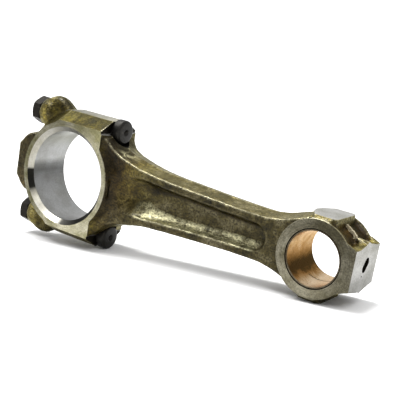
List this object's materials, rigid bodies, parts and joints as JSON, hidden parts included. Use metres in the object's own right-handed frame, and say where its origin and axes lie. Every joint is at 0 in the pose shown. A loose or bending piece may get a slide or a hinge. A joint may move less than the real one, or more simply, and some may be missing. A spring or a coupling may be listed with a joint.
{
  "type": "connecting rod",
  "caption": "Forged I-beam connecting rod with a bolted bearing cap, through bolts and nuts, and a bronze bush pressed in the pin end.",
  "frame": {"origin": "under the middle of the rod's bounding box, on the level of its lowest bolt boss", "axes": "+X from the crank bore to the pin bore, Y along both bores, +Z from the lower bolt to the upper bolt"},
  "size_m": [0.2594, 0.0358, 0.0964],
  "materials": {
    "forged_steel": "satin, oily forged skin with bright machined faces and bores",
    "black_bolt_steel": "black phosphate",
    "nut_steel": "oil blackened",
    "bush_bronze": "polished, with brown oil varnish"
  },
  "bodies": {
    "rod": {"rod_body": "forged_steel", "pin_bush": "bush_bronze"},
    "cap": {"bearing_cap": "forged_steel"},
    "upper_bolt": {"upper_bolt": "black_bolt_steel"},
    "lower_bolt": {"lower_bolt": "black_bolt_steel"},
    "upper_nut": {"upper_nut": "nut_steel"},
    "lower_nut": {"lower_nut": "nut_steel"}
  },
  "joints": [
    {"name": "cap_slide", "type": "slide", "parent": "rod", "child": "cap", "axis": [-1, 0, 0], "range_m": [0, 0.06]},
    {"name": "upper_bolt_slide", "type": "slide", "parent": "rod", "child": "upper_bolt", "axis": [1, 0, 0], "range_m": [0, 0.078]},
    {"name": "lower_bolt_slide", "type": "slide", "parent": "rod", "child": "lower_bolt", "axis": [1, 0, 0], "range_m": [0, 0.078]},
    {"name": "upper_nut_slide", "type": "slide", "parent": "cap", "child": "upper_nut", "axis": [-1, 0, 0], "range_m": [0, 0.02]},
    {"name": "lower_nut_slide", "type": "slide", "parent": "cap", "child": "lower_nut", "axis": [-1, 0, 0], "range_m": [0, 0.02]}
  ]
}
